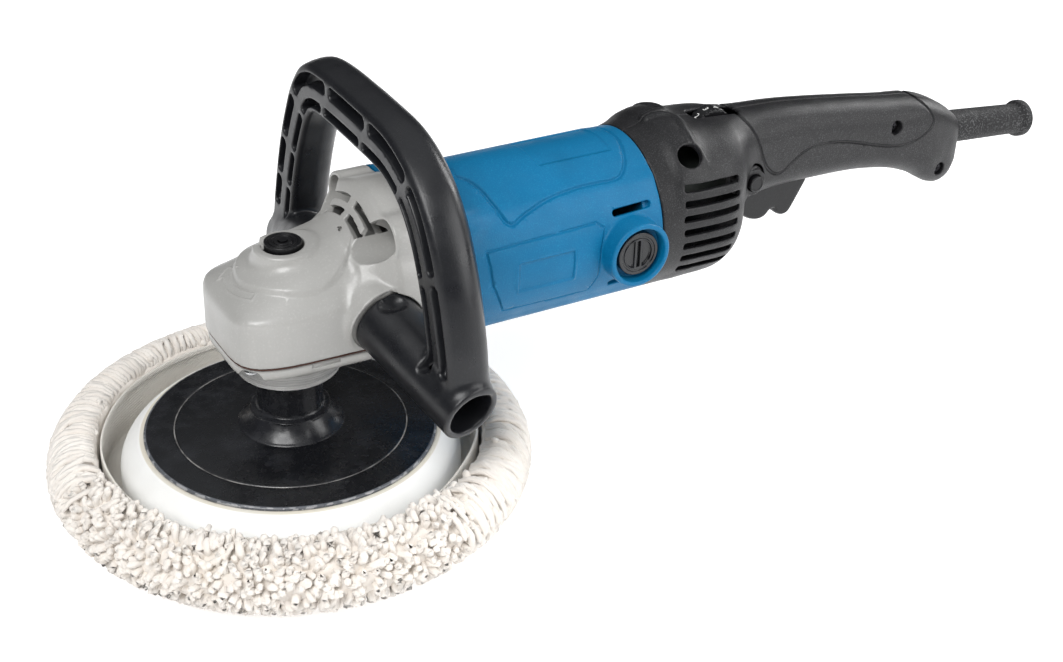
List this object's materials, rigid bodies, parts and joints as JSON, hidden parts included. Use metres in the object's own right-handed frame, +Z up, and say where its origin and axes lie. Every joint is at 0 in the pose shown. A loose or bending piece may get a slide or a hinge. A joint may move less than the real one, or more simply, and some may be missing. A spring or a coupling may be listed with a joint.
{
  "type": "rotary polisher",
  "caption": "Corded right-angle rotary polisher with loop handle, motor housing, rear grip with trigger, and a pad carrying a wool bonnet.",
  "frame": {"origin": "centre of the bonnet working face, on the spindle axis", "axes": "+Z up along the spindle, away from the work; +X from the spindle towards the rear grip"},
  "size_m": [0.633, 0.254, 0.2216],
  "materials": {
    "painted_cast": "satin warm grey paint on cast aluminium",
    "bare_cast": "bright cast",
    "steel": "ground steel",
    "dark_steel": "blackened steel",
    "blue_plastic": "fine grained blue",
    "black_plastic": "fine spark textured black",
    "gloss_black": "polished black",
    "rubber": "matte black rubber",
    "copper": "copper winding",
    "brass": "pressed brass",
    "carbon": "pressed carbon",
    "lamination": "stacked steel laminations",
    "potting": "potted electronics",
    "foam": "closed cell white foam",
    "canvas": "plain woven cotton",
    "wool": "creamy wool yarn pile",
    "seal": "thin gasket"
  },
  "bodies": {
    "machine": {"brush_cap_near": "gloss_black", "brush_cap_far": "gloss_black", "spindle_lower_bearing": "steel", "spindle_upper_bearing": "steel", "lock_spring": "steel", "front_motor_bearing": "steel", "rear_motor_bearing": "steel", "trigger_pin": "steel", "cord_boot": "rubber", "gear_housing": "painted_cast", "bearing_retainer": "bare_cast", "gearbox_gasket": "seal", "retainer_screw_1": "dark_steel", "retainer_screw_2": "dark_steel", "retainer_screw_3": "dark_steel", "retainer_screw_4": "dark_steel", "gearcase_screw_1": "dark_steel", "gearcase_screw_2": "dark_steel", "gearcase_screw_3": "dark_steel", "gearcase_screw_4": "dark_steel", "loop_bolt_near": "dark_steel", "loop_bolt_far": "dark_steel", "handle_screw_front": "dark_steel", "handle_screw_rear": "dark_steel", "rear_screw_near": "dark_steel", "rear_screw_far": "dark_steel", "loop_handle": "black_plastic", "handle_shell_right": "black_plastic", "handle_shell_left": "black_plastic", "air_baffle": "black_plastic", "cord_clamp": "black_plastic", "motor_housing": "blue_plastic", "field_coil_upper": "copper", "field_coil_lower": "copper", "stator_core": "lamination", "brush_holder_near": "brass", "brush_holder_far": "brass", "switch_body": "potting", "speed_controller": "potting"},
    "drive_spindle": {"spindle": "steel", "crown_gear": "steel", "pad_hub": "gloss_black", "backing_disc": "gloss_black", "foam_pad": "foam", "hook_sheet": "rubber", "canvas_cup": "canvas", "wool_bonnet": "wool"},
    "armature": {"armature_shaft": "steel", "armature_core": "lamination", "armature_winding": "copper", "commutator": "copper", "cooling_fan": "black_plastic", "bevel_pinion": "steel"},
    "lock_button_body": {"lock_button": "rubber", "lock_pin": "steel"},
    "trigger_body": {"trigger": "black_plastic"},
    "lock_on_body": {"lock_on_button": "gloss_black"},
    "dial_body": {"speed_dial": "black_plastic"},
    "brush_body_near": {"carbon_brush_near": "carbon"},
    "brush_body_far": {"carbon_brush_far": "carbon"}
  },
  "joints": [
    {"name": "spindle_spin", "type": "hinge", "parent": "machine", "child": "drive_spindle", "pos_m": [0, 0, 0.06], "axis": [0, 0, 1], "continuous": true},
    {"name": "armature_spin", "type": "hinge", "parent": "machine", "child": "armature", "pos_m": [0.12, 0, 0.1254], "axis": [1, 0, 0], "continuous": true},
    {"name": "lock_button_slide", "type": "slide", "parent": "machine", "child": "lock_button_body", "axis": [0, 0, -1], "range_m": [0, 0.004], "stiffness_N_per_m": 800, "springref_m": -0.003, "deforming": ["lock_spring"]},
    {"name": "trigger_hinge", "type": "hinge", "parent": "machine", "child": "trigger_body", "pos_m": [0.281, 0, 0.128], "axis": [0, -1, 0], "range_deg": [0, 6], "stiffness_Nm_per_rad": 3, "springref_deg": -8.59},
    {"name": "lock_on_slide", "type": "slide", "parent": "machine", "child": "lock_on_body", "axis": [0, 1, 0], "range_m": [0, 0.003], "stiffness_N_per_m": 500, "springref_m": -0.002},
    {"name": "speed_dial_turn", "type": "hinge", "parent": "machine", "child": "dial_body", "pos_m": [0.258, 0, 0.1615], "axis": [0, 1, 0], "range_deg": [-135, 135]},
    {"name": "brush_slide_near", "type": "slide", "parent": "machine", "child": "brush_body_near", "axis": [0, -1, 0], "range_m": [0, 0.006], "stiffness_N_per_m": 400, "springref_m": -0.01},
    {"name": "brush_slide_far", "type": "slide", "parent": "machine", "child": "brush_body_far", "axis": [0, 1, 0], "range_m": [0, 0.006], "stiffness_N_per_m": 400, "springref_m": -0.01}
  ],
  "couplings": [
    {"joint": "armature_spin", "follows": "spindle_spin", "ratio": 4.5556}
  ]
}
